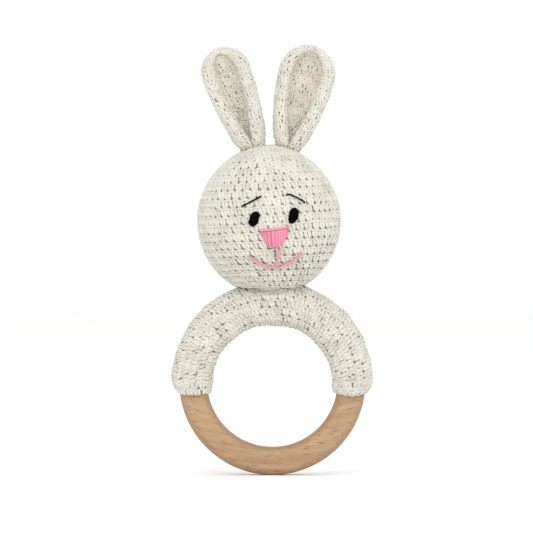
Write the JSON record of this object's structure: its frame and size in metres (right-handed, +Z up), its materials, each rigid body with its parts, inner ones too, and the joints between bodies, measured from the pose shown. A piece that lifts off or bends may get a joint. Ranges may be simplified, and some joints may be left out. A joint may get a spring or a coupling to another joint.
{
  "type": "teething ring",
  "caption": "Beech teething ring whose upper half runs in a crocheted cotton sleeve, with a stuffed crocheted bunny head, upright cupped ears and an embroidered face.",
  "frame": {"origin": "on the ground under the middle of the wooden ring, with the ring standing upright", "axes": "+Z up from the ring to the ears, the face looks along -Y, +X to the viewer's right"},
  "size_m": [0.0754, 0.0552, 0.1612],
  "materials": {
    "beech": "bare sanded beech, fine grain and short flecks",
    "cotton_crochet": "matte cream cotton yarn in single crochet",
    "filling": "white polyester fibre",
    "rattle_shell": "smooth white plastic",
    "rattle_bead": "plain plastic beads",
    "black_thread": "black cotton thread in satin stitch",
    "pink_thread": "pink cotton thread in satin stitch",
    "pale_pink_thread": "light pink cotton thread"
  },
  "bodies": {
    "sleeve": {"sleeve": "cotton_crochet", "sleeve_seam": "cotton_crochet"},
    "ring": {"wooden_ring": "beech"},
    "neck": {"neck_gather": "cotton_crochet"},
    "head": {"head_cover": "cotton_crochet", "stuffing_lower": "filling", "stuffing_upper": "filling", "rattle_shell_lower": "rattle_shell", "rattle_shell_upper": "rattle_shell", "ear_left_seam": "cotton_crochet", "ear_right_seam": "cotton_crochet", "eye_left": "black_thread", "eye_right": "black_thread", "brow_left": "black_thread", "brow_right": "black_thread", "nose_satin": "pink_thread", "nose_bar": "pink_thread", "philtrum": "pale_pink_thread", "mouth_left": "pale_pink_thread", "mouth_right": "pale_pink_thread"},
    "ear_left": {"ear_left": "cotton_crochet"},
    "ear_right": {"ear_right": "cotton_crochet"},
    "bead_1": {"rattle_bead_1": "rattle_bead"},
    "bead_2": {"rattle_bead_2": "rattle_bead"},
    "bead_3": {"rattle_bead_3": "rattle_bead"}
  },
  "joints": [
    {"name": "ring_turn", "type": "hinge", "parent": "sleeve", "child": "ring", "pos_m": [0, 0, 0.035], "axis": [0, 1, 0], "continuous": true},
    {"name": "head_nod", "type": "hinge", "parent": "sleeve", "child": "neck", "pos_m": [-0.0013, 0, 0.06475], "axis": [1, 0, 0], "range_deg": [-12, 12], "stiffness_Nm_per_rad": 0.4},
    {"name": "head_tilt", "type": "hinge", "parent": "neck", "child": "head", "pos_m": [-0.0013, 0, 0.06475], "axis": [0, 1, 0], "range_deg": [-8, 8], "stiffness_Nm_per_rad": 0.5},
    {"name": "ear_left_bend", "type": "hinge", "parent": "head", "child": "ear_left", "pos_m": [-0.00935, 0, 0.12914], "axis": [0.9397, 0, 0.342], "range_deg": [-30, 45], "stiffness_Nm_per_rad": 0.03},
    {"name": "ear_right_bend", "type": "hinge", "parent": "head", "child": "ear_right", "pos_m": [0.0074, 0, 0.12911], "axis": [0.9681, 0, -0.2504], "range_deg": [-30, 45], "stiffness_Nm_per_rad": 0.03},
    {"name": "bead_1_jump", "type": "slide", "parent": "head", "child": "bead_1", "axis": [0, 0, 1], "range_m": [0, 0.0188]},
    {"name": "bead_2_jump", "type": "slide", "parent": "head", "child": "bead_2", "axis": [0, 0, 1], "range_m": [0, 0.0188]},
    {"name": "bead_3_jump", "type": "slide", "parent": "head", "child": "bead_3", "axis": [0, 0, 1], "range_m": [0, 0.0188]}
  ]
}
